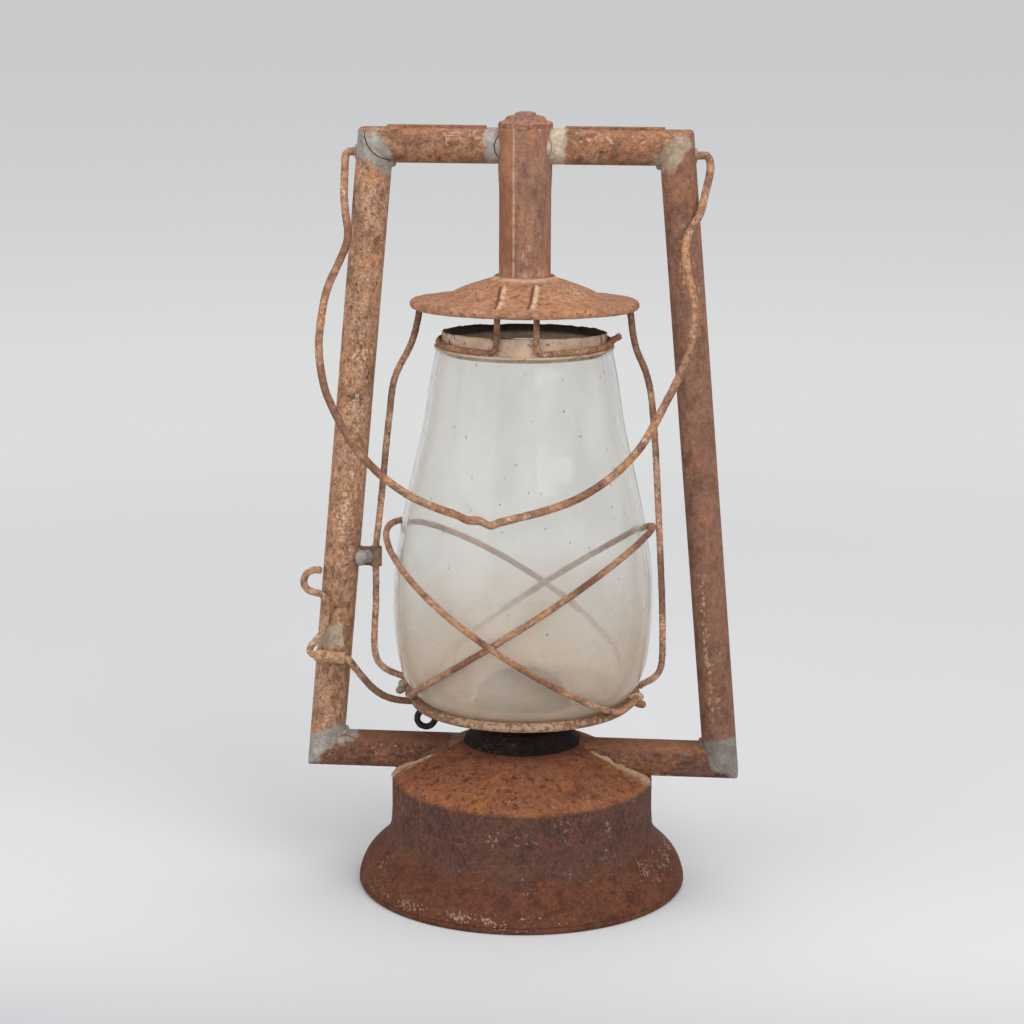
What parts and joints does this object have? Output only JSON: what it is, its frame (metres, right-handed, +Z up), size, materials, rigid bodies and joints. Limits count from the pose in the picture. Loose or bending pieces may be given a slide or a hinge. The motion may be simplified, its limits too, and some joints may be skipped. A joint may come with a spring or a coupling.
{
  "type": "kerosene lantern",
  "caption": "Rusted side-lift tubular kerosene lantern: hollow tube frame round a clear globe in a wire cage that a lever raises, with fount, burner, wick winder and bail.",
  "frame": {"origin": "on the floor, under the axis of the crown tube and the globe", "axes": "+Z up, +X to the lantern's right, -Y its front, where the bail hangs and the lever's strap sits"},
  "size_m": [0.1936, 0.1456, 0.3417],
  "materials": {
    "rusted_sheet": "bare sheet steel, all rusted, matt",
    "sooty_sheet": "sheet steel under soot and old oil, matt",
    "tinned_sheet": "dull tinned sheet with rust specks",
    "worn_tin": "cream, oxidised tin plate with rust specks",
    "rusted_wire": "drawn steel wire, rusted, with traces of tin",
    "dark_iron": "blackened, matt",
    "burner_brass": "tarnished, sooty",
    "globe_glass": "clear glass with a film of dust",
    "cotton_wick": "woven cotton, charred at its top",
    "cork": "pressed cork"
  },
  "bodies": {
    "frame": {"base_skirt": "rusted_sheet", "fount_drum": "rusted_sheet", "fount_dome": "rusted_sheet", "fount_bottom": "rusted_sheet", "filler_neck": "rusted_sheet", "air_chamber": "sooty_sheet", "burner_body": "burner_brass", "wick_tube": "burner_brass", "burner_cone": "burner_brass", "left_lower_tube": "rusted_sheet", "right_lower_tube": "rusted_sheet", "left_side_tube": "rusted_sheet", "right_side_tube": "rusted_sheet", "left_top_tube": "rusted_sheet", "right_top_tube": "rusted_sheet", "crown_tube": "rusted_sheet", "crown_cap": "rusted_sheet", "left_bail_eyelet": "tinned_sheet", "right_bail_eyelet": "tinned_sheet", "guide_clip": "tinned_sheet", "lever_strap": "tinned_sheet"},
    "cage": {"canopy": "rusted_sheet", "canopy_sleeve": "rusted_sheet", "globe_collar": "worn_tin", "globe_spring_wire": "rusted_wire", "globe": "globe_glass", "globe_plate": "worn_tin", "plate_ring": "worn_tin", "left_guard": "rusted_wire", "right_guard": "rusted_wire", "left_cross_wire": "rusted_wire", "right_cross_wire": "rusted_wire"},
    "lever": {"lift_lever": "rusted_wire"},
    "bail_handle": {"bail": "rusted_wire"},
    "winder": {"winder_shaft": "dark_iron", "winder_wheels": "burner_brass"},
    "wick_slide": {"wick": "cotton_wick"},
    "filler": {"filler_cap": "rusted_sheet", "filler_gasket": "cork"}
  },
  "joints": [
    {"name": "cage_lift", "type": "slide", "parent": "frame", "child": "cage", "axis": [0, 0, 1], "range_m": [0, 0.018]},
    {"name": "lever_turn", "type": "hinge", "parent": "frame", "child": "lever", "pos_m": [-0.08418, -0.012, 0.1032], "axis": [0.9961, 0, -0.0885], "range_deg": [0, 48]},
    {"name": "bail_swing", "type": "hinge", "parent": "frame", "child": "bail_handle", "pos_m": [0, 0, 0.3238], "axis": [-1, 0, 0], "range_deg": [0, 317]},
    {"name": "winder_turn", "type": "hinge", "parent": "frame", "child": "winder", "pos_m": [0.00089, -0.00533, 0.0766], "axis": [0.9863, 0.165, 0], "range_deg": [-101.2, 134.9]},
    {"name": "wick_rise", "type": "slide", "parent": "frame", "child": "wick_slide", "axis": [0, 0, 1], "range_m": [-0.006, 0.008]},
    {"name": "cap_turn", "type": "hinge", "parent": "frame", "child": "filler", "pos_m": [0, 0.043, 0.05695], "axis": [0, 0.4571, 0.8894], "range_deg": [0, 540]}
  ],
  "couplings": [
    {"joint": "lever_turn", "follows": "cage_lift", "rad_per_m": 46.54},
    {"joint": "winder_turn", "follows": "wick_rise", "rad_per_m": 294.12}
  ]
}
